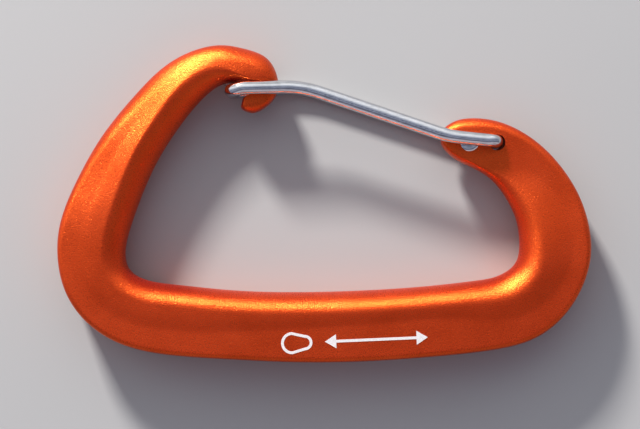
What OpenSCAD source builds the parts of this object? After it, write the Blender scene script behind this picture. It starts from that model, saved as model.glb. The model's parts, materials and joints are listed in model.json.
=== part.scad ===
// Small wire-gate carabiner: a forged D-shaped frame and a bent wire gate.
// It lies on its broad side. +X runs from the nose end to the hinge end, +Y from the spine to the
// gate, +Z up. The origin is under the middle of the outline, at the face it lies on.

/* [Frame] */
// Thickness of the bar at its crown, which is the thickness of the whole carabiner
frame_t = 9; // [8.8:0.1:10]
// Thickness of the flat tongue that carries the hinge holes
tongue_t = 4; // [3.6:0.1:4]
// How far the flat outer flange lies below the crown on each broad side
flange_drop = 0.25; // [0.2:0.05:0.6]
// Thickness of the hooked nose between the legs of the gate
nose_t = 4.2; // [3.6:0.1:4.2]
// Rounding of the bar's inner side, where a sling or rope bears, measured across the bar
bearing_round = 3.2; // [2:0.1:3.4]
// Rounding of the flange's outer edge, measured across the bar
edge_round = 0.8; // [0.5:0.1:1.2]

/* [Gate] */
// Diameter of the gate wire
wire_d = 2; // [1.6:0.1:2]
// Distance between the centre lines of the two legs
leg_spacing = 6.8; // [6.8:0.1:7]
// Radius of the wire's bend into each hinge hole, at its centre line
pin_bend = 1.3; // [1.1:0.1:1.4]
// Radius of the two bends of the nose loop, at the centre line
loop_bend = 1.6; // [1.4:0.1:1.8]
// Radius of the slight bend just before the loop, at the centre line
tail_bend = 2; // [1:0.5:3]
// Radius of the two gentle bends along each leg, at the centre line
leg_bend = 16; // [8:1:20]
// Radial play of the wire in its hinge holes
hinge_play = 0.2; // [0.1:0.02:0.2]
// Diameter of the peened head on each wire end
head_d = 2.8; // [2.6:0.1:2.9]
// Height of a peened head
head_h = 0.35; // [0.2:0.05:0.35]

/* [Smoothness] */
// Rings of the frame between two rows of its outline
rings_per_row = 3; // [2:1:4]
// Segments of a round face
$fn = 48; // [24:8:96]

/* [Hidden] */

crown = frame_t / 2;
flange = crown - flange_drop;
tongue = tongue_t / 2;
nose = nose_t / 2;
br = bearing_round;
er = edge_round;

// One row for each station of the bar, from the tongue's end round to the nose's end:
// inner x, inner y, outer x, outer y; half heights at the crown, at the head of the step,
// at its foot and at the outer rim; places of the step's head and foot as shares of the width;
// inner rounding, outer rounding; how far the inner side is flattened
STATIONS = [
    [17.8, 9.5, 17.8, 10.1, 0.6, 0.6, 0.6, 0.6, 0.4, 0.6, er, er, 1],
    [18.1, 8.4, 18.2, 11.2, 1.6, 1.6, 1.6, 1.6, 0.4, 0.6, er, 1.0, 1],
    [19.6, 6.9, 19.7, 12.3, tongue, tongue, tongue, tongue, 0.4, 0.6, er, 1.4, 1],
    [21.6, 5.8, 22.2, 12.83, tongue, tongue, tongue, tongue, 0.4, 0.6, er, 1.6, 1],
    [24.3, 4.4, 26.6, 12.3, tongue, tongue, tongue, tongue, 0.4, 0.6, er, 1.4, 1],
    [26.4, 2.5, 31.5, 9.83, 2.05, tongue, tongue, tongue, 0.25, 0.5, 1.6, 1.2, 1],
    [28.15, -0.1, 35.42, 6.12, 2.5, 2.4, 2.1, 2.1, 0.32, 0.6, 2.2, 1.1, 1],
    [29.3, -2.95, 38.4, 1.54, 3.1, 2.95, 2.35, 2.3, 0.34, 0.7, 2.8, 1.0, 1],
    [29.7, -5.85, 40.05, -3.45, 3.7, 3.55, 2.75, 2.6, 0.35, 0.74, 3.2, 1.0, 1],
    [29.35, -8.6, 40.1, -9.05, 4.2, 4.05, 3.25, 3.0, 0.35, 0.72, 3.6, er, 1],
    [27.8, -10.35, 37.4, -15.35, 4.45, 4.35, 3.7, 3.45, 0.35, 0.68, 4.2, er, 1],
    [25.5, -11.35, 32.15, -20.1, crown, crown, 4.05, 3.9, 0.38, 0.63, 4.0, er, 1],
    [22.05, -11.9, 25.05, -22.1, crown, crown, flange, 4.2, 0.37, 0.54, 3.4, er, 1],
    [15.7, -12.6, 16.5, -23.05, crown, crown, flange, flange, 0.33, 0.45, br, er, 1],
    [7.1, -13.2, 7.2, -23.7, crown, crown, flange, flange, 0.34, 0.46, br, er, 1],
    [-3.0, -13.5, -3.2, -23.9, crown, crown, flange, flange, 0.38, 0.5, br, er, 1],
    [-12.65, -13.3, -13.2, -23.5, crown, crown, flange, flange, 0.42, 0.57, br, er, 1],
    [-20.25, -12.6, -21.4, -22.98, crown, crown, flange, flange, 0.46, 0.63, br, er, 1],
    [-25.6, -11.95, -28.72, -21.73, crown, crown, flange, flange, 0.46, 0.64, br, er, 1],
    [-28.6, -10.8, -34.7, -18.6, crown, crown, flange, flange, 0.48, 0.66, br, er, 1],
    [-29.85, -8.95, -38.7, -13.35, crown, crown, flange, 4.1, 0.52, 0.68, 3.3, er, 1.1],
    [-29.87, -6.3, -39.95, -7.0, crown, 4.4, 4.15, 3.85, 0.53, 0.67, 3.4, er, 1.15],
    [-28.92, -2.85, -39.1, -1.4, crown, 4.25, 4.05, 3.6, 0.58, 0.66, 3.4, 1.0, 1.2],
    [-27.27, 1.65, -36.65, 4.45, crown, 3.95, 3.7, 2.95, 0.58, 0.64, 3.4, 1.2, 1.25],
    [-24.97, 6.58, -33.18, 10.56, 4.4, 3.8, 3.5, 2.7, 0.57, 0.63, 3.5, 1.8, 1.25],
    [-22.0, 11.25, -28.57, 16.28, 4.2, 3.6, 3.35, 2.2, 0.57, 0.64, 3.6, 2.2, 1.2],
    [-18.88, 15.17, -23.15, 21.34, 3.9, 3.55, 3.3, 2.1, 0.57, 0.65, 3.75, 2.6, 1.1],
    [-15.75, 17.75, -16.95, 23.78, 3.45, 3.35, 3.2, 2.8, 0.5, 0.6, 2.7, 2.7, 1.0],
    [-13.3, 18.15, -12.55, 23.5, 3.45, 3.35, 3.15, 2.7, 0.4, 0.6, 1.5, 2.8, 1],
    [-11.9, 18.0, -9.45, 22.5, 3.35, 3.25, 3.05, 2.7, 0.4, 0.6, 1.0, 2.6, 1],
    [-10.75, 17.4, -7.8, 21.0, 3.15, 3.1, 3.0, 2.8, 0.4, 0.6, 0.7, 2.2, 1],
    [-10.7, 16.45, -7.0, 19.15, 2.8, 2.8, 2.8, 2.8, 0.4, 0.6, 0.6, 1.8, 1],
    [-11.95, 16.05, -6.87, 17.5, 2.5, 2.5, 2.5, 2.5, 0.4, 0.6, 0.6, 1.6, 1],
    [-12.35, 15.25, -7.22, 16.25, 2.3, 2.3, 2.3, 2.3, 0.4, 0.6, 0.6, 1.5, 1],
    [-12.5, 14.5, -8.0, 15.2, 2.1, 2.1, 2.1, 2.1, 0.4, 0.6, 0.6, 1.2, 1],
    [-11.95, 13.95, -9.3, 14.15, 1.5, 1.5, 1.5, 1.5, 0.4, 0.6, 0.6, 0.8, 1],
    [-11.05, 13.65, -10.5, 13.65, 0.5, 0.5, 0.5, 0.5, 0.4, 0.6, 0.5, 0.5, 1],
];

// Hinge holes: the near leg's, which is the hinge axis, and the far leg's
near_hole = [26.05, 9.25];
far_hole = [22.0, 9.15];
// The turned ends are slightly thinner than the wire
pin_d = wire_d - 0.04;
hole_d = pin_d + 2 * hinge_play;

// Recess for the legs on both broad sides of the nose: its left and its upper edge
recess = [-14.9, 18.5];

// Corners of a leg's centre line as seen from above, from the hinge to the loop's bar
knee = [18.8, 10.0];
shoulder = [-3.2, 17.42];
tail = [-11.9, 17.25];
bar = [-13.95, 16.9];
// The far leg lies this much further out than the near one in its middle
far_lift = [0, 0.35];
// Length of the stretch before the knee that belongs to the springing end
spring_run = 3;

leg_z = leg_spacing / 2;
// A turned end starts at pin_top and reaches a little way into the bend
pin_top = leg_z - pin_bend;
pin_overlap = 0.3;
head_gap = 0.03;
pin_end = tongue + head_gap + head_h;
wire_sides = 20;
bend_step = 15;

function unit(v) = v / norm(v);
function at(p, z) = [p[0], p[1], z];

// Control values of the cubic B-spline that passes through every row of p, by relaxation
function relax(p, c, turns) =
    turns == 0 ? c : relax(p, [
        for (i = [0:len(p) - 1])
            i == 0 || i == len(p) - 1 ? p[i] : (6 * p[i] - c[i - 1] - c[i + 1]) / 4
    ], turns - 1);

function controls(p) =
    let (c = relax(p, p, 24), n = len(c) - 1)
    concat([2 * c[0] - c[1]], c, [2 * c[n] - c[n - 1]]);

// Point of the spline between control rows i + 1 and i + 2, for t from 0 to 1
function spline(c, i, t) =
    (pow(1 - t, 3) * c[i] + (3 * pow(t, 3) - 6 * t * t + 4) * c[i + 1]
    + (1 + 3 * t + 3 * t * t - 3 * pow(t, 3)) * c[i + 2] + pow(t, 3) * c[i + 3]) / 6;

// Upper half of a cross-section of width w as [distance from the inner edge, height]:
// inner rounding, slope off the crown, step down to the flange, flange, outer rounding
function upper_half(w, q) =
    let (
        top = min(q[4], crown),
        r_in = min(q[10], 0.5 * w),
        r_out = min(q[11], 0.45 * w),
        end = w - r_out,
        head = max(q[8] * w, r_in + 0.5),
        foot = max(q[9] * w, head + 0.4),
        outline = [[r_in, top], [head, min(q[5], top)], [foot, q[6]], [w, q[7]]],
        drop = min(1.25 * r_out, 0.9 * q[7])
    )
    concat(
        [for (a = [0:18:90]) [r_in * (1 - pow(cos(a), q[12])), top * pow(sin(a), q[12])]],
        [for (k = [1:6]) let (u = r_in + (end - r_in) * k / 7) [u, lookup(u, outline)]],
        [
            for (a = [0:30:90])
                let (u = end + r_out * sin(a)) [u, lookup(u, outline) - drop * (1 - cos(a))]
        ]
    );

// Closed ring of one station: the upper half outwards, then its mirror image back
function ring(q) =
    let (
        inner = [q[0], q[1]],
        outer = [q[2], q[3]],
        across = unit(outer - inner),
        half = upper_half(norm(outer - inner), q),
        n = len(half)
    )
    concat(
        [for (s = half) at(inner + across * s[0], s[1])],
        [for (k = [n - 1:-1:1]) at(inner + across * half[k][0], -half[k][1])]
    );

// Solid through all rings, closed by a flat face at each end
module sweep(rings) {
    n = len(rings[0]);
    last = len(rings) - 1;
    sides = [
        for (i = [0:last - 1])
            for (k = [0:n - 1])
                let (m = (k + 1) % n)
                each [
                    [i * n + k, (i + 1) * n + m, (i + 1) * n + k],
                    [i * n + k, i * n + m, (i + 1) * n + m]
                ]
    ];
    polyhedron(
        points = [for (r = rings) each r],
        faces = concat(
            sides,
            [[for (k = [n - 1:-1:0]) k]],
            [[for (k = [0:n - 1]) last * n + k]]
        )
    );
}

module hinge_hole(place) {
    translate(at(place, -crown)) cylinder(d = hole_d, h = frame_t);
}

module leg_recess() {
    translate([recess[0], 0, nose]) cube([-recess[0], recess[1], crown]);
    translate([recess[0], 0, -nose - crown]) cube([-recess[0], recess[1], crown]);
}

// Vector v turned by an angle about a unit axis
function turned(v, axis, angle) =
    v * cos(angle) + cross(axis, v) * sin(angle) + axis * (axis * v) * (1 - cos(angle));

// Cross-section frames [centre, direction, side] of a bend of centre-line radius r at corner b,
// on the way from a to c
function bend_frames(a, b, c, r, side) =
    let (
        d1 = unit(b - a),
        d2 = unit(c - b),
        axis = unit(cross(d1, d2)),
        angle = acos(d1 * d2),
        inward = cross(axis, d1),
        centre = b - d1 * r * tan(angle / 2) + inward * r,
        steps = ceil(angle / bend_step)
    )
    [
        for (k = [0:steps])
            [for (v = [-inward * r, d1, side]) turned(v, axis, angle * k / steps)]
            + [centre, [0, 0, 0], [0, 0, 0]]
    ];

// Frames from corner i of the route p to its end, with the bend radius r[i] at corner i
function route_frames(p, r, i, side) =
    i == len(p) - 1
        ? [[p[i], unit(p[i] - p[i - 1]), side]]
        : let (bent = bend_frames(p[i - 1], p[i], p[i + 1], r[i], side))
            concat(bent, route_frames(p, r, i + 1, bent[len(bent) - 1][2]));

// Wire along the corners p, whose first stretch is square to the direction side
module wire(p, r, side) {
    frames = concat([[p[0], unit(p[1] - p[0]), side]], route_frames(p, r, 1, side));
    sweep([
        for (f = frames)
            [
                for (k = [0:wire_sides - 1])
                    let (a = 360 * k / wire_sides)
                    f[0] + (f[2] * cos(a) + cross(f[2], f[1]) * sin(a)) * wire_d / 2
            ]
    ]);
}

// Round end of the wire in its hinge hole, and its peened head on the far side of the tongue.
// It enters from the side given by entry, 1 for above and -1 for below.
module hinge_pin(place, entry) {
    translate([place[0], place[1], 0])
        rotate([entry > 0 ? 0 : 180, 0, 0])
            translate([0, 0, -pin_end]) {
                cylinder(d = pin_d, h = pin_end + pin_top + pin_overlap);
                cylinder(d = head_d, h = head_h);
            }
}

// Where the wire is split: on the far leg, just before its knee
split = at(knee + far_lift + unit(shoulder - knee) * spring_run, -leg_z);

module frame() {
    c = controls(STATIONS);
    rings = [
        for (i = [0:len(STATIONS) - 2])
            for (k = [0:rings_per_row - 1])
                ring(spline(c, i, k / rings_per_row)),
        ring(STATIONS[len(STATIONS) - 1])
    ];
    color("darkorange")
        translate([0, 0, crown])
            difference() {
                sweep(rings);
                hinge_hole(near_hole);
                hinge_hole(far_hole);
                leg_recess();
            }
}

module gate_wire() {
    color("silver")
        translate([0, 0, crown]) {
            hinge_pin(near_hole, 1);
            wire(
                [
                    at(near_hole, pin_top), at(near_hole, leg_z), at(knee, leg_z),
                    at(shoulder, leg_z), at(tail, leg_z), at(bar, leg_z),
                    at(bar, -leg_z), at(tail, -leg_z), at(shoulder + far_lift, -leg_z), split
                ],
                [
                    0, pin_bend, leg_bend, leg_bend, tail_bend, loop_bend,
                    loop_bend, tail_bend, leg_bend, 0
                ],
                [0, 1, 0]
            );
        }
}

module gate_wire_spring_end() {
    color("gainsboro")
        translate([0, 0, crown]) {
            hinge_pin(far_hole, -1);
            wire(
                [
                    at(far_hole, -pin_top), at(far_hole, -leg_z), at(knee + far_lift, -leg_z),
                    split
                ],
                [0, pin_bend, leg_bend, 0],
                [0, 1, 0]
            );
        }
}

frame();
gate_wire();
gate_wire_spring_end();
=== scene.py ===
"""Looks of a small wire-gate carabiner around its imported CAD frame, in metres."""

import json
import math

import bmesh
import bpy
import numpy as np
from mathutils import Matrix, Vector


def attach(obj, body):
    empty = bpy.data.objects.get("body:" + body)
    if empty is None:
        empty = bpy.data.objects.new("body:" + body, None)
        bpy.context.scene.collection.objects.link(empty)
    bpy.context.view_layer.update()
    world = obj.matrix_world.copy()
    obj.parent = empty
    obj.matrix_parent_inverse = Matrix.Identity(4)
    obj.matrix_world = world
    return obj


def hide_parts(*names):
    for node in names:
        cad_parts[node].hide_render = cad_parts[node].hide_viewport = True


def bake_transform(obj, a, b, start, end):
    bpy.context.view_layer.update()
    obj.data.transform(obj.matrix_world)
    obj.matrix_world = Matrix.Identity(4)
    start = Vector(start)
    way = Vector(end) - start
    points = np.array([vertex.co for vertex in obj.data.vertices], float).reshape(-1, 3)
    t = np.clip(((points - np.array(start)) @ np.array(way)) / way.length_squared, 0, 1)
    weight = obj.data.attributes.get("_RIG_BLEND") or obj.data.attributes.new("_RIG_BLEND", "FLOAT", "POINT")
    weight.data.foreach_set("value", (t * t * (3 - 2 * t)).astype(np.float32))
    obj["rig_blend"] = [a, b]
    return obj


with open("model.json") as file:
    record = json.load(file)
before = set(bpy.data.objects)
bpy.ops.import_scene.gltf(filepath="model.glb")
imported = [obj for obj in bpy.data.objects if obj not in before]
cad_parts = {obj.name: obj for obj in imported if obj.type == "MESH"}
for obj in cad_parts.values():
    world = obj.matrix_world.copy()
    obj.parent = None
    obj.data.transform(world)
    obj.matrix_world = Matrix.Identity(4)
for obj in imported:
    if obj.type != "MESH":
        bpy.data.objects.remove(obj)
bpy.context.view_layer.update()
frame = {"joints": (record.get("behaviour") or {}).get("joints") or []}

MM = 0.001
JOINT = frame["joints"][0]
MID_Z = JOINT["pos_m"][2]  # the carabiner's middle plane, half its thickness above the floor

# ---------------------------------------------------------------- dimensions, in millimetres
CROWN = MID_Z / MM  # half thickness of the bar at its crown
STEP = CROWN - 0.25  # half thickness of the flat outer flange along the spine
TONGUE = 2.0  # half thickness of the hinge tongue
NOSE = 2.1  # half thickness of the nose between the legs of the gate
BEARING = 3.2  # rounding of the inner side
EDGE = 0.8  # rounding of the flange's outer edge

# One row for each station of the bar, from the tongue's end round to the nose's end:
# inner x, inner y, outer x, outer y; half heights at the crown, at the head of the step,
# at its foot and at the outer rim; places of the step's head and foot as shares of the width;
# inner rounding, outer rounding; how far the inner side is flattened; height of the ridge's bead
STATIONS = [
    (17.8, 9.5, 17.8, 10.1, 0.6, 0.6, 0.6, 0.6, 0.4, 0.6, EDGE, EDGE, 1, 0),
    (18.1, 8.4, 18.2, 11.2, 1.6, 1.6, 1.6, 1.6, 0.4, 0.6, EDGE, 1.0, 1, 0),
    (19.6, 6.9, 19.7, 12.3, TONGUE, TONGUE, TONGUE, TONGUE, 0.4, 0.6, EDGE, 1.4, 1, 0),
    (21.6, 5.8, 22.2, 12.83, TONGUE, TONGUE, TONGUE, TONGUE, 0.4, 0.6, EDGE, 1.6, 1, 0),
    (24.3, 4.4, 26.6, 12.3, TONGUE, TONGUE, TONGUE, TONGUE, 0.4, 0.6, EDGE, 1.4, 1, 0),
    (26.4, 2.5, 31.5, 9.83, 2.05, TONGUE, TONGUE, TONGUE, 0.25, 0.5, 1.6, 1.2, 1, 0),
    (28.15, -0.1, 35.42, 6.12, 2.5, 2.4, 2.1, 2.1, 0.32, 0.6, 2.2, 1.1, 1, 0),
    (29.3, -2.95, 38.4, 1.54, 3.1, 2.95, 2.35, 2.3, 0.34, 0.7, 2.8, 1.0, 1, 0),
    (29.7, -5.85, 40.05, -3.45, 3.7, 3.55, 2.75, 2.6, 0.35, 0.74, 3.2, 1.0, 1, 0),
    (29.35, -8.6, 40.1, -9.05, 4.2, 4.05, 3.25, 3.0, 0.35, 0.72, 3.6, EDGE, 1, 0),
    (27.8, -10.35, 37.4, -15.35, 4.45, 4.35, 3.7, 3.45, 0.35, 0.68, 4.2, EDGE, 1, 0),
    (25.5, -11.35, 32.15, -20.1, CROWN, CROWN, 4.05, 3.9, 0.38, 0.63, 4.0, EDGE, 1, 0),
    (22.05, -11.9, 25.05, -22.1, CROWN, CROWN, STEP, 4.2, 0.37, 0.54, 3.4, EDGE, 1, 0),
    (15.7, -12.6, 16.5, -23.05, CROWN, CROWN, STEP, STEP, 0.33, 0.45, BEARING, EDGE, 1, 0),
    (7.1, -13.2, 7.2, -23.7, CROWN, CROWN, STEP, STEP, 0.34, 0.46, BEARING, EDGE, 1, 0),
    (-3.0, -13.5, -3.2, -23.9, CROWN, CROWN, STEP, STEP, 0.38, 0.5, BEARING, EDGE, 1, 0),
    (-12.65, -13.3, -13.2, -23.5, CROWN, CROWN, STEP, STEP, 0.42, 0.57, BEARING, EDGE, 1, 0),
    (-20.25, -12.6, -21.4, -22.98, CROWN, CROWN, STEP, STEP, 0.46, 0.63, BEARING, EDGE, 1, 0),
    (-25.6, -11.95, -28.72, -21.73, CROWN, CROWN, STEP, STEP, 0.46, 0.64, BEARING, EDGE, 1, 0),
    (-28.6, -10.8, -34.7, -18.6, CROWN, CROWN, STEP, STEP, 0.48, 0.66, BEARING, EDGE, 1, 0),
    (-29.85, -8.95, -38.7, -13.35, CROWN, CROWN, STEP, 4.1, 0.52, 0.68, 3.3, EDGE, 1.1, 0),
    (-29.87, -6.3, -39.95, -7.0, CROWN, 4.4, 4.15, 3.85, 0.53, 0.67, 3.4, EDGE, 1.15, 0.03),
    (-28.92, -2.85, -39.1, -1.4, CROWN, 4.25, 4.05, 3.6, 0.58, 0.66, 3.4, 1.0, 1.2, 0.05),
    (-27.27, 1.65, -36.65, 4.45, CROWN, 3.95, 3.7, 2.95, 0.58, 0.64, 3.4, 1.2, 1.25, 0.1),
    (-24.97, 6.58, -33.18, 10.56, 4.4, 3.8, 3.5, 2.7, 0.57, 0.63, 3.5, 1.8, 1.25, 0.12),
    (-22.0, 11.25, -28.57, 16.28, 4.2, 3.6, 3.35, 2.2, 0.57, 0.64, 3.6, 2.2, 1.2, 0.08),
    (-18.88, 15.17, -23.15, 21.34, 3.9, 3.55, 3.3, 2.1, 0.57, 0.65, 3.75, 2.6, 1.1, 0.03),
    (-15.75, 17.75, -16.95, 23.78, 3.45, 3.35, 3.2, 2.8, 0.5, 0.6, 2.7, 2.7, 1.0, 0),
    (-13.3, 18.15, -12.55, 23.5, 3.45, 3.35, 3.15, 2.7, 0.4, 0.6, 1.5, 2.8, 1, 0),
    (-11.9, 18.0, -9.45, 22.5, 3.35, 3.25, 3.05, 2.7, 0.4, 0.6, 1.0, 2.6, 1, 0),
    (-10.75, 17.4, -7.8, 21.0, 3.15, 3.1, 3.0, 2.8, 0.4, 0.6, 0.7, 2.2, 1, 0),
    (-10.7, 16.45, -7.0, 19.15, 2.8, 2.8, 2.8, 2.8, 0.4, 0.6, 0.6, 1.8, 1, 0),
    (-11.95, 16.05, -6.87, 17.5, 2.5, 2.5, 2.5, 2.5, 0.4, 0.6, 0.6, 1.6, 1, 0),
    (-12.35, 15.25, -7.22, 16.25, 2.3, 2.3, 2.3, 2.3, 0.4, 0.6, 0.6, 1.5, 1, 0),
    (-12.5, 14.5, -8.0, 15.2, 2.1, 2.1, 2.1, 2.1, 0.4, 0.6, 0.6, 1.2, 1, 0),
    (-11.95, 13.95, -9.3, 14.15, 1.5, 1.5, 1.5, 1.5, 0.4, 0.6, 0.6, 0.8, 1, 0),
    (-11.05, 13.65, -10.5, 13.65, 0.5, 0.5, 0.5, 0.5, 0.4, 0.6, 0.5, 0.5, 1, 0),
]
HEAD_SOFT = 0.9  # length over which the surface turns at the head of the step
FOOT_SOFT = 0.25  # and at its foot, which shows as a crisp line
BEAD_WIDTH = 0.8
INNER_SHARE = 0.5  # largest shares of the bar's width that its two roundings may take
OUTER_SHARE = 0.45
HEAD_ROOM = 0.5  # least distance from the inner rounding to the head of the step
STEP_ROOM = 0.4  # and from its head to its foot
RINGS_PER_ROW = 12

# Gate wire
WIRE_R = 1.0
NEAR_HOLE = (JOINT["pos_m"][0] / MM, JOINT["pos_m"][1] / MM)
FAR_HOLE = (22.0, 9.15)
HOLE_R = 1.2
HOLE_SHIFT = (0.13, -0.13)  # the gate is drawn up into one side of its holes
CUTTER_LENGTH = 12.0
LEG_Z = 3.4  # height of a leg's centre line above or below the middle plane
KNEE = (18.8, 10.0)
SHOULDER = (-3.2, 17.42)
TAIL = (-11.9, 17.25)  # where the legs turn slightly towards the spine, short of the loop
BAR = (-13.95, 16.9)
FAR_LIFT = 0.35  # the far leg lies this much further out than the near one in its middle
LEG_SLANT = math.atan2(SHOULDER[1] - KNEE[1], KNEE[0] - SHOULDER[0])
PIN_BEND = 1.3
PIN_END = LEG_Z - PIN_BEND - 0.2  # height at which a wire end starts its bend into the leg
LEG_BEND = 16.0
LOOP_BEND = 1.6
TAIL_BEND = 2.0
HEAD_R = 1.4
HEAD_H = 0.35
HEAD_GAP = 0.03
SPLIT_BACK = 4.0  # the far leg's own piece ends this far short of the shoulder

# Recess beside the nose, where a leg of the gate lies: below this edge the bar is cut to NOSE
RECESS_Y = 18.1
RECESS_RISE = 0.1  # rise of the edge for each millimetre left of RECESS_TURN
RECESS_TURN = -10.8
RECESS_WALL = 0.5
RECESS_X = -14.9
RECESS_END = 1.3
RECESS_DEPTH = 1.6  # rise of the cut over the length of a wall
RECESS_SOFT = 0.3
NOSE_FLOOR = 10.0  # everything above this, and left of the middle, may belong to the nose


# ---------------------------------------------------------------- curves and meshes
def spline(rows, parts):
    """Points of the cubic B-spline that passes through every row, parts to each gap."""
    rows = np.array(rows, float)
    ctrl = rows.copy()
    for _ in range(24):
        ctrl[1:-1] = (6 * rows[1:-1] - ctrl[:-2] - ctrl[2:]) / 4
    ctrl = np.vstack([2 * ctrl[0] - ctrl[1], ctrl, 2 * ctrl[-1] - ctrl[-2]])
    out = []
    for i in range(len(rows) - 1):
        for t in np.linspace(0, 1, parts, endpoint=False):
            out.append(
                (
                    (1 - t) ** 3 * ctrl[i]
                    + (3 * t**3 - 6 * t**2 + 4) * ctrl[i + 1]
                    + (1 + 3 * t + 3 * t**2 - 3 * t**3) * ctrl[i + 2]
                    + t**3 * ctrl[i + 3]
                )
                / 6
            )
    out.append(rows[-1])
    return np.array(out)


def smooth_min(a, b, soft):
    """The smaller of a and b, rounded over where they meet."""
    return (a + b - math.sqrt((a - b) ** 2 + soft**2)) / 2


def ramp_from(x, soft):
    """Zero below 0 and x above it, with a soft turn between."""
    return (x + math.sqrt(x * x + soft * soft)) / 2


def upper_half(width, q):
    """Upper half of a cross-section as (distance from the inner edge, height) pairs."""
    top, head, foot, rim, s1, s2, r_in, r_out, flatten, bead = q[4:14]
    top = min(top, CROWN)
    head = min(head, top)
    r_in = min(r_in, INNER_SHARE * width)
    r_out = min(r_out, OUTER_SHARE * width)
    end = width - r_out
    u1 = max(s1 * width, r_in + HEAD_ROOM)
    u2 = max(s2 * width, u1 + STEP_ROOM)
    slopes = [(head - top) / (u1 - r_in), (foot - head) / (u2 - u1), (rim - foot) / (width - u2)]
    drop = min(1.25 * r_out, 0.9 * rim)

    def height(u):
        z = top + slopes[0] * ramp_from(u - r_in, HEAD_SOFT)
        z += (slopes[1] - slopes[0]) * ramp_from(u - u1, min(HEAD_SOFT, u2 - u1))
        z += (slopes[2] - slopes[1]) * ramp_from(u - u2, FOOT_SOFT)
        return z + bead * math.exp(-(((u - r_in) / BEAD_WIDTH) ** 2))

    points = []
    for a in np.linspace(0, math.pi / 2, 20):
        u = r_in * (1 - math.cos(a) ** flatten)
        points.append((u, height(u) - top * (1 - math.sin(a) ** flatten)))
    points[0] = (0.0, 0.0)
    for u in np.linspace(r_in, end, 31)[1:]:
        points.append((u, height(u)))
    for a in np.linspace(0, math.pi / 2, 11)[1:]:
        u = end + r_out * math.sin(a)
        points.append((u, height(u) - drop * (1 - math.cos(a))))
    return points


def recess(x, y, z):
    """Height z cut down to the nose's half thickness beside the legs of the gate."""
    edge = RECESS_Y + RECESS_RISE * max(0.0, RECESS_TURN - x)
    outside = max((y - edge) / RECESS_WALL, (RECESS_X - x) / RECESS_END, 0.0)
    return smooth_min(z, NOSE + RECESS_DEPTH * outside, RECESS_SOFT)


def bar_ring(q):
    """Closed ring of one station in millimetres: out over the top, then back underneath."""
    inner, outer = np.array(q[0:2]), np.array(q[2:4])
    width = np.linalg.norm(outer - inner)
    across = (outer - inner) / width
    half = []
    for u, z in upper_half(width, q):
        x, y = inner + across * u
        if RECESS_X - 1 < x < 0 and y > NOSE_FLOOR and z > 0:
            z = recess(x, y, z)
        half.append((x, y, z))
    return half + [(x, y, -z) for x, y, z in half[-1:0:-1]]


def mesh_from_rings(name, rings):
    """Closed mesh through equal rings given in millimetres about the middle plane."""
    n = len(rings[0])
    verts = [(x * MM, y * MM, z * MM + MID_Z) for ring in rings for x, y, z in ring]
    faces = []
    for i in range(len(rings) - 1):
        for k in range(n):
            m = (k + 1) % n
            faces.append((i * n + k, i * n + m, (i + 1) * n + m, (i + 1) * n + k))
    last = (len(rings) - 1) * n
    faces.append(tuple(range(n - 1, -1, -1)))
    faces.append(tuple(range(last, last + n)))
    mesh = bpy.data.meshes.new(name)
    mesh.from_pydata(verts, [], faces)
    mesh.validate()
    obj = bpy.data.objects.new(name, mesh)
    bpy.context.scene.collection.objects.link(obj)
    tidy(mesh)
    return obj


def tidy(mesh, angle=math.radians(40)):
    """Outward normals, smooth shading, and sharp edges where the surface turns by more than angle."""
    work = bmesh.new()
    work.from_mesh(mesh)
    bmesh.ops.recalc_face_normals(work, faces=work.faces)
    for face in work.faces:
        face.smooth = True
    for edge in work.edges:
        edge.smooth = len(edge.link_faces) == 2 and edge.calc_face_angle(0.0) < angle
    work.to_mesh(mesh)
    work.free()


def cylinder_cutter(name, place, radius, length):
    """Plain round cutter through the middle plane, for a hole."""
    mesh = bpy.data.meshes.new(name)
    work = bmesh.new()
    bmesh.ops.create_cone(
        work,
        cap_ends=True,
        segments=96,
        radius1=radius * MM,
        radius2=radius * MM,
        depth=length * MM,
    )
    work.to_mesh(mesh)
    work.free()
    obj = bpy.data.objects.new(name, mesh)
    obj.location = (place[0] * MM, place[1] * MM, MID_Z)
    bpy.context.scene.collection.objects.link(obj)
    return obj


def cut(obj, cutter):
    """Takes the cutter out of obj and removes the cutter."""
    modifier = obj.modifiers.new("cut", "BOOLEAN")
    modifier.operation = "DIFFERENCE"
    modifier.solver = "EXACT"
    modifier.object = cutter
    bpy.context.view_layer.update()
    result = bpy.data.meshes.new_from_object(
        obj.evaluated_get(bpy.context.evaluated_depsgraph_get())
    )
    obj.modifiers.clear()
    obj.data = result
    bpy.data.objects.remove(cutter)


# ---------------------------------------------------------------- materials
def new_material(name):
    material = bpy.data.materials.new(name)
    material.use_nodes = True
    nodes = material.node_tree.nodes
    return material, nodes, material.node_tree.links, nodes["Principled BSDF"]


def add(nodes, kind, **settings):
    """New node with its properties, or its inputs by name, set."""
    node = nodes.new(kind)
    for key, value in settings.items():
        if hasattr(node, key):
            setattr(node, key, value)
        else:
            node.inputs[key.replace("_", " ")].default_value = value
    return node


def ramp(nodes, stops):
    node = nodes.new("ShaderNodeValToRGB")
    elements = node.color_ramp.elements
    while len(elements) < len(stops):
        elements.new(0.5)
    for element, (position, colour) in zip(elements, stops):
        element.position = position
        element.color = colour if len(colour) == 4 else (*colour, 1)
    return node


def mixed(nodes, links, kind, factor, a, b):
    """Colour a with colour b laid over it."""
    node = nodes.new("ShaderNodeMix")
    node.data_type, node.blend_type = "RGBA", kind
    node.inputs[0].default_value = factor
    links.new(a, node.inputs[6])
    links.new(b, node.inputs[7])
    return node.outputs[2]


METAL_TINT = ((0.7, 0.127, 0.023), (0.78, 0.147, 0.03))
DYE_TINT = ((0.6, 0.02, 0.018), (0.68, 0.026, 0.022))
METAL_ROUGHNESS = (0.26, 0.36)
DYE_ROUGHNESS = (0.6, 0.7)
METAL_SHARE = 0.78


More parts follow.
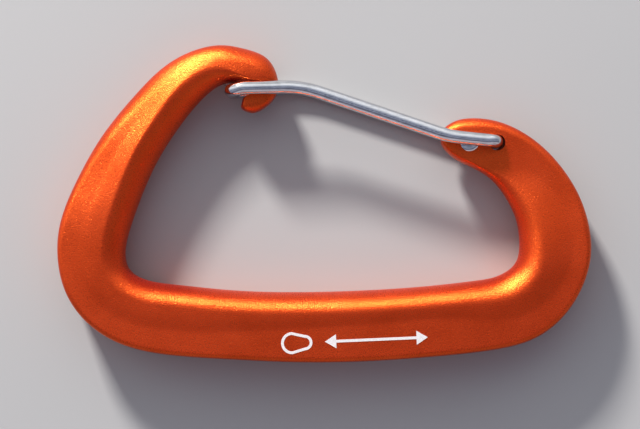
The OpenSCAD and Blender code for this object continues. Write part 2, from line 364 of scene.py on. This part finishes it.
def anodised_material():
    """Bead-blasted, orange-anodised aluminium: a metal glint under a redder dyed layer."""
    material, nodes, links, shader = new_material("anodised_orange")
    place = add(nodes, "ShaderNodeTexCoord").outputs["Object"]
    grain = add(nodes, "ShaderNodeTexNoise", Scale=6600.0, Detail=2.0, Roughness=0.6)
    cloud = add(nodes, "ShaderNodeTexNoise", Scale=160.0, Detail=4.0, Roughness=0.5)
    pit = add(nodes, "ShaderNodeTexVoronoi", Scale=6000.0)
    for node in (grain, cloud, pit):
        links.new(place, node.inputs["Vector"])
    blast = add(nodes, "ShaderNodeBump", Strength=0.5, Distance=0.00012)
    links.new(grain.outputs["Fac"], blast.inputs["Height"])
    pits = add(nodes, "ShaderNodeBump", Strength=0.3, Distance=0.00004)
    links.new(pit.outputs["Distance"], pits.inputs["Height"])
    links.new(blast.outputs["Normal"], pits.inputs["Normal"])
    dye = add(nodes, "ShaderNodeBsdfPrincipled", Specular_IOR_Level=0.1)
    lobes = [(shader, METAL_TINT, METAL_ROUGHNESS), (dye, DYE_TINT, DYE_ROUGHNESS)]
    for lobe, (low, high), (smooth, rough_end) in lobes:
        tint = ramp(nodes, [(0.35, low), (0.65, high)])
        links.new(cloud.outputs["Fac"], tint.inputs["Fac"])
        speckle = ramp(nodes, [(0.35, (0.7, 0.62, 0.55)), (0.6, (1.0, 1.0, 1.0))])
        links.new(grain.outputs["Fac"], speckle.inputs["Fac"])
        base = mixed(nodes, links, "MULTIPLY", 0.18, tint.outputs["Color"], speckle.outputs["Color"])
        links.new(base, lobe.inputs["Base Color"])
        rough = ramp(nodes, [(0.35, (smooth,) * 3), (0.65, (rough_end,) * 3)])
        links.new(grain.outputs["Fac"], rough.inputs["Fac"])
        links.new(rough.outputs["Color"], lobe.inputs["Roughness"])
        links.new(pits.outputs["Normal"], lobe.inputs["Normal"])
    shader.inputs["Metallic"].default_value = 1.0
    both = add(nodes, "ShaderNodeMixShader")
    both.inputs["Fac"].default_value = METAL_SHARE
    links.new(dye.outputs["BSDF"], both.inputs[1])
    links.new(shader.outputs["BSDF"], both.inputs[2])
    links.new(both.outputs["Shader"], nodes["Material Output"].inputs["Surface"])
    return material


def wire_material():
    """Drawn stainless wire: fine lines along it and a slight haze."""
    material, nodes, links, shader = new_material("drawn_stainless")
    place = add(nodes, "ShaderNodeTexCoord").outputs["Object"]
    along = nodes.new("ShaderNodeMapping")
    along.inputs["Rotation"].default_value = (0, 0, LEG_SLANT)
    along.inputs["Scale"].default_value = (0.06, 1.0, 1.0)
    links.new(place, along.inputs["Vector"])
    haze = add(nodes, "ShaderNodeTexNoise", Scale=700.0, Detail=5.0, Roughness=0.6)
    line = add(nodes, "ShaderNodeTexNoise", Scale=7000.0, Detail=2.0, Roughness=0.6)
    links.new(place, haze.inputs["Vector"])
    links.new(along.outputs["Vector"], line.inputs["Vector"])
    tone = ramp(nodes, [(0.35, (0.60, 0.62, 0.66)), (0.65, (0.72, 0.73, 0.76))])
    links.new(line.outputs["Fac"], tone.inputs["Fac"])
    stain = ramp(nodes, [(0.35, (0.88, 0.87, 0.86)), (0.6, (1.0, 1.0, 1.0))])
    links.new(haze.outputs["Fac"], stain.inputs["Fac"])
    base = mixed(nodes, links, "MULTIPLY", 0.8, tone.outputs["Color"], stain.outputs["Color"])
    links.new(base, shader.inputs["Base Color"])
    rough = ramp(nodes, [(0.35, (0.11,) * 3), (0.65, (0.17,) * 3)])
    links.new(haze.outputs["Fac"], rough.inputs["Fac"])
    links.new(rough.outputs["Color"], shader.inputs["Roughness"])
    bump = add(nodes, "ShaderNodeBump", Strength=0.35, Distance=0.00003)
    links.new(line.outputs["Fac"], bump.inputs["Height"])
    links.new(bump.outputs["Normal"], shader.inputs["Normal"])
    shader.inputs["Metallic"].default_value = 1.0
    return material


def print_material():
    """White pad-printing ink, slightly broken by the blasted surface under it."""
    material, nodes, links, shader = new_material("white_ink")
    place = add(nodes, "ShaderNodeTexCoord").outputs["Object"]
    grain = add(nodes, "ShaderNodeTexNoise", Scale=8000.0, Detail=2.0, Roughness=0.6)
    links.new(place, grain.inputs["Vector"])
    tone = ramp(nodes, [(0.3, (0.6, 0.55, 0.55)), (0.6, (0.78, 0.76, 0.77))])
    links.new(grain.outputs["Fac"], tone.inputs["Fac"])
    links.new(tone.outputs["Color"], shader.inputs["Base Color"])
    bump = add(nodes, "ShaderNodeBump", Strength=0.3, Distance=0.00003)
    links.new(grain.outputs["Fac"], bump.inputs["Height"])
    links.new(bump.outputs["Normal"], shader.inputs["Normal"])
    shader.inputs["Roughness"].default_value = 0.55
    return material


FLOOR_TONES = ((0.3, (0.42, 0.42, 0.425)), (0.7, (0.44, 0.44, 0.445)))


def floor_material():
    """Plain pale studio floor."""
    material, nodes, links, shader = new_material("pale_floor")
    place = add(nodes, "ShaderNodeTexCoord").outputs["Object"]
    cloud = add(nodes, "ShaderNodeTexNoise", Scale=9.0, Detail=2.0)
    links.new(place, cloud.inputs["Vector"])
    tone = ramp(nodes, FLOOR_TONES)
    links.new(cloud.outputs["Fac"], tone.inputs["Fac"])
    links.new(tone.outputs["Color"], shader.inputs["Base Color"])
    shader.inputs["Roughness"].default_value = 0.8
    return material


# ---------------------------------------------------------------- forged frame
def make_frame(material):
    rings = [bar_ring(q) for q in spline(STATIONS, RINGS_PER_ROW)]
    obj = mesh_from_rings("forged_frame", rings)
    for name, hole in (("near_hole_cutter", NEAR_HOLE), ("far_hole_cutter", FAR_HOLE)):
        centre = (hole[0] + HOLE_SHIFT[0], hole[1] + HOLE_SHIFT[1])
        cut(obj, cylinder_cutter(name, centre, HOLE_R, CUTTER_LENGTH))
    tidy(obj.data)
    obj.data.materials.append(material)
    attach(obj, "frame")
    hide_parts("frame")
    return obj


# ---------------------------------------------------------------- printed mark
MARK_Z = STEP + 0.012  # the ink's underside, sunk into the flange's skin
INK = 0.03
MARK_AT = (4.6, -20.55)  # middle of the mark, on the flat outer flange
MARK_TURN = math.radians(2.5)
LINE = 0.42
LINK_X = -8.6  # middle of the closed-link symbol, along the spine from MARK_AT
LINK_HALF = 2.35
LINK_RADII = (1.65, 1.15)
ARROW_X = (-4.4, 11.0)
ARROW_HEAD = 1.7
ARROW_SPREAD = 0.62  # half width of an arrow's head as a share of its length


def flat_ink(name, outlines, holes=()):
    """Thin slab of ink from outlines in millimetres about MARK_AT, less the holes."""
    curve = bpy.data.curves.new(name, "CURVE")
    curve.dimensions = "2D"
    curve.fill_mode = "BOTH"
    curve.extrude = INK / 2 * MM
    for outline in list(outlines) + list(holes):
        spline_part = curve.splines.new("POLY")
        spline_part.points.add(len(outline) - 1)
        for point, (x, y) in zip(spline_part.points, outline):
            point.co = (x * MM, y * MM, 0, 1)
        spline_part.use_cyclic_u = True
    temporary = bpy.data.objects.new(name + "_outline", curve)
    bpy.context.scene.collection.objects.link(temporary)
    bpy.context.view_layer.update()
    mesh = bpy.data.meshes.new_from_object(
        temporary.evaluated_get(bpy.context.evaluated_depsgraph_get())
    )
    bpy.data.objects.remove(temporary)
    for vertex in mesh.vertices:
        x, y, z = vertex.co
        c, t = math.cos(MARK_TURN), math.sin(MARK_TURN)
        vertex.co = (
            MARK_AT[0] * MM + x * c - y * t,
            MARK_AT[1] * MM + x * t + y * c,
            MID_Z + (MARK_Z + INK / 2) * MM + z,
        )
    obj = bpy.data.objects.new(name, mesh)
    bpy.context.scene.collection.objects.link(obj)
    tidy(mesh)
    return obj


def arc(cx, cy, rx, ry, a0, a1, count):
    return [
        (cx + rx * math.cos(math.radians(a)), cy + ry * math.sin(math.radians(a)))
        for a in np.linspace(a0, a1, count)
    ]


def double_arrow(x0, x1, y, head, half):
    """Outline of a straight arrow with a head at both ends."""
    wide = head * ARROW_SPREAD
    return [
        (x0, y),
        (x0 + head, y + wide),
        (x0 + head, y + half),
        (x1 - head, y + half),
        (x1 - head, y + wide),
        (x1, y),
        (x1 - head, y - wide),
        (x1 - head, y - half),
        (x0 + head, y - half),
        (x0 + head, y - wide),
    ]


def link_shape(cx, cy, half_length, r_left, r_right):
    """Rounded outline with a wide and a narrow end, as in a plain carabiner symbol."""
    left, right = cx - half_length + r_left, cx + half_length - r_right
    return arc(left, cy, r_left, r_left, 90, 270, 19) + arc(right, cy, r_right, r_right, -90, 90, 15)


def make_mark(material):
    """Plain white print: a closed-link symbol, then a double-headed arrow along the spine."""
    r_left, r_right = LINK_RADII
    shapes = [
        link_shape(LINK_X, 0, LINK_HALF, r_left, r_right),
        double_arrow(*ARROW_X, 0, ARROW_HEAD, LINE / 2),
    ]
    holes = [link_shape(LINK_X, 0, LINK_HALF - LINE, r_left - LINE, r_right - LINE)]
    obj = flat_ink("printed_mark", shapes, holes)
    obj.data.materials.append(material)
    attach(obj, "frame")
    return obj


# ---------------------------------------------------------------- gate wire
def unit(v):
    return v / np.linalg.norm(v)


def turned(v, axis, angle):
    return (
        v * math.cos(angle)
        + np.cross(axis, v) * math.sin(angle)
        + axis * np.dot(axis, v) * (1 - math.cos(angle))
    )


def wire_frames(corners, radii, side, stretch=1.5):
    """Cross-section frames (centre, direction, side) along corners joined by round bends."""
    p = [np.array(c, float) for c in corners]
    frames = [(p[0], unit(p[1] - p[0]), np.array(side, float))]
    for i in range(1, len(p)):
        centre, d1, side = frames[-1]
        d1 = unit(p[i] - p[i - 1])
        if i < len(p) - 1:
            d2 = unit(p[i + 1] - p[i])
            axis = unit(np.cross(d1, d2))
            angle = math.acos(np.dot(d1, d2))
            inward = np.cross(axis, d1)
            start = p[i] - d1 * radii[i] * math.tan(angle / 2)
            pivot = start + inward * radii[i]
        else:
            start = p[i]
        steps = max(1, round(np.linalg.norm(start - centre) / stretch))
        for k in range(1, steps + 1):
            frames.append((centre + (start - centre) * k / steps, d1, side))
        if i < len(p) - 1:
            steps = max(3, math.ceil(math.degrees(angle) / 6))
            for k in range(1, steps + 1):
                a = angle * k / steps
                frames.append(
                    (
                        pivot + turned(-inward * radii[i], axis, a),
                        turned(d1, axis, a),
                        turned(side, axis, a),
                    )
                )
    return frames


def wire_ring(centre, direction, side, radius, count=32):
    up = np.cross(side, direction)
    return [
        tuple(centre + radius * (side * math.cos(a) + up * math.sin(a)))
        for a in np.linspace(0, 2 * math.pi, count, endpoint=False)
    ]


def peened_rings(place, entry):
    """Rings of a wire end in its hole, from the centre of its peened head back to the bend."""
    outer = TONGUE + HEAD_GAP + HEAD_H
    profile = [
        (outer, 0.02),
        (outer, 0.55 * HEAD_R),
        (outer - 0.03, 0.78 * HEAD_R),
        (outer - 0.1, 0.93 * HEAD_R),
        (outer - 0.2, HEAD_R),
        (outer - HEAD_H + 0.04, HEAD_R),
        (outer - HEAD_H, 0.96 * HEAD_R),
        (outer - HEAD_H, WIRE_R),
        (outer - HEAD_H - 0.02, WIRE_R - 0.02),
        (0, WIRE_R - 0.02),
        (-LEG_Z + PIN_BEND + 0.3, WIRE_R - 0.02),
    ]
    direction = np.array([0.0, 0.0, entry])
    return [
        wire_ring(
            np.array([place[0], place[1], -entry * z]),
            direction,
            np.array([0.0, 1.0, 0.0]),
            radius,
        )
        for z, radius in profile
    ]


def at(place, z):
    return (place[0], place[1], z)


def make_wire(name, place, entry, corners, radii, material):
    frames = wire_frames(corners, radii, (0, 1, 0))
    rings = peened_rings(place, entry) + [wire_ring(c, d, s, WIRE_R) for c, d, s in frames]
    obj = mesh_from_rings(name, rings)
    obj.data.materials.append(material)
    return obj


def make_gate(material):
    """The one bent wire in two pieces: the far leg bends away from the rest as the gate opens."""
    far_knee = (KNEE[0], KNEE[1] + FAR_LIFT)
    far_shoulder = (SHOULDER[0], SHOULDER[1] + FAR_LIFT)
    run = unit(np.array(SHOULDER) - np.array(KNEE))
    split = tuple(np.array(far_shoulder) - run * SPLIT_BACK)
    near = make_wire(
        "gate_wire_near_leg",
        NEAR_HOLE,
        1,
        [
            at(NEAR_HOLE, PIN_END),
            at(NEAR_HOLE, LEG_Z),
            at(KNEE, LEG_Z),
            at(SHOULDER, LEG_Z),
            at(TAIL, LEG_Z),
            at(BAR, LEG_Z),
            at(BAR, -LEG_Z),
            at(TAIL, -LEG_Z),
            at(far_shoulder, -LEG_Z),
            at(split, -LEG_Z),
        ],
        [0, PIN_BEND, LEG_BEND, LEG_BEND, TAIL_BEND]
        + [LOOP_BEND, LOOP_BEND, TAIL_BEND, LEG_BEND, 0],
        material,
    )
    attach(near, "gate")
    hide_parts("gate_wire")
    far = make_wire(
        "gate_wire_far_leg",
        FAR_HOLE,
        -1,
        [
            at(FAR_HOLE, -PIN_END),
            at(FAR_HOLE, -LEG_Z),
            at(far_knee, -LEG_Z),
            at(split, -LEG_Z),
        ],
        [0, PIN_BEND, LEG_BEND, 0],
        material,
    )
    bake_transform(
        far,
        "frame",
        "gate",
        start=((FAR_HOLE[0] - WIRE_R) * MM, FAR_HOLE[1] * MM, MID_Z),
        end=(split[0] * MM, FAR_HOLE[1] * MM, MID_Z),
    )
    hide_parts("gate_wire_spring_end")
    bend_like_a_spring(far, split)
    return near, far


def bend_like_a_spring(far, split):
    """Weights for the shape of a wire clamped at the split, its other end turning in its hole."""
    weights = far.data.attributes["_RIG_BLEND"].data
    reach = math.dist(FAR_HOLE, split) - WIRE_R
    lever = math.dist(FAR_HOLE, NEAR_HOLE) + WIRE_R
    for vertex, weight in zip(far.data.vertices, weights):
        away = math.dist((vertex.co.x / MM, vertex.co.y / MM), FAR_HOLE) - WIRE_R
        if vertex.co.z > MID_Z - TONGUE * MM:
            away = 0.0
        away = min(max(away, 0.0), reach)
        left = 1 - away / reach
        weight.value = 1 - lever / (lever + away) * (3 * left**2 - left**3) / 2


# ---------------------------------------------------------------- stage
KEY_FROM = (-0.38, 0.81, 0.41)
KEY_DISTANCE = 0.9
KEY_SIZE = 0.13
KEY_POWER = 12.2
KEY_COLOUR = (1.0, 0.97, 0.92)
WORLD_STRENGTH = 1.06
WORLD_TONES = [
    (0.05, (0.38, 0.34, 0.35)),
    (0.13, (0.62, 0.56, 0.6)),
    (0.22, (0.15, 0.15, 0.19)),
    (0.32, (0.16, 0.17, 0.22)),
    (0.41, (0.4, 0.42, 0.5)),
    (0.475, (0.07, 0.08, 0.12)),
    (0.54, (0.36, 0.38, 0.46)),
    (0.64, (0.38, 0.4, 0.46)),
    (0.76, (0.9, 0.91, 0.93)),
    (0.87, (0.92, 0.92, 0.93)),
    (0.94, (0.48, 0.48, 0.48)),
]
WORLD_SIDE = (-0.35, 0.94, 0.0)  # direction along which the surround's tones run
FLOOR_HALF = 1.5
FLOOR_DROP = 0.00002  # keeps the floor clear of the carabiner's underside
VIEW_DISTANCE = 0.29  # metres from the camera to the middle plane
VIEW_WIDTH = 0.09702  # metres across the picture at the middle plane
VIEW_CENTRE = (-0.00052, -0.00174)


def make_floor():
    mesh = bpy.data.meshes.new("studio_floor")
    half = FLOOR_HALF
    mesh.from_pydata(
        [(-half, -half, 0), (half, -half, 0), (half, half, 0), (-half, half, 0)],
        [],
        [(0, 1, 2, 3)],
    )
    obj = bpy.data.objects.new("studio_floor", mesh)
    obj.location.z = -FLOOR_DROP
    bpy.context.scene.collection.objects.link(obj)
    obj.data.materials.append(floor_material())


def area_light(name, direction, distance, size, power, colour):
    """Soft square light that looks at the object from a direction."""
    data = bpy.data.lights.new(name, "AREA")
    data.energy, data.size, data.color = power, size, colour
    obj = bpy.data.objects.new(name, data)
    obj.location = Vector(direction).normalized() * distance
    obj.rotation_euler = (-Vector(direction)).to_track_quat("-Z", "Y").to_euler()
    bpy.context.scene.collection.objects.link(obj)


def make_world():
    """Soft surround: bright on the key light's side, dim on the other, a dark strip overhead."""
    world = bpy.data.worlds.new("studio")
    bpy.context.scene.world = world
    world.use_nodes = True
    nodes, links = world.node_tree.nodes, world.node_tree.links
    background = nodes["Background"]
    direction = add(nodes, "ShaderNodeTexCoord").outputs["Generated"]
    side = add(nodes, "ShaderNodeVectorMath", operation="DOT_PRODUCT")
    side.inputs[1].default_value = WORLD_SIDE
    links.new(direction, side.inputs[0])
    place = add(nodes, "ShaderNodeMapRange")
    place.inputs["From Min"].default_value = -1.0
    links.new(side.outputs["Value"], place.inputs["Value"])
    sky = ramp(nodes, WORLD_TONES)
    links.new(place.outputs["Result"], sky.inputs["Fac"])
    links.new(sky.outputs["Color"], background.inputs["Color"])
    background.inputs["Strength"].default_value = WORLD_STRENGTH


def make_camera():
    """Straight down on the broad side, as in a close product shot."""
    data = bpy.data.cameras.new("camera")
    data.sensor_width = 36
    data.lens = 36 * VIEW_DISTANCE / VIEW_WIDTH
    data.clip_start = 0.01
    obj = bpy.data.objects.new("camera", data)
    obj.location = (VIEW_CENTRE[0], VIEW_CENTRE[1], MID_Z + VIEW_DISTANCE)
    bpy.context.scene.collection.objects.link(obj)
    bpy.context.scene.camera = obj


bpy.context.scene.view_settings.view_transform = "Standard"
bpy.context.scene.view_settings.look = "Medium High Contrast"
make_camera()
make_world()
area_light("key", KEY_FROM, KEY_DISTANCE, KEY_SIZE, KEY_POWER, KEY_COLOUR)
make_floor()
make_frame(anodised_material())
make_mark(print_material())
make_gate(wire_material())
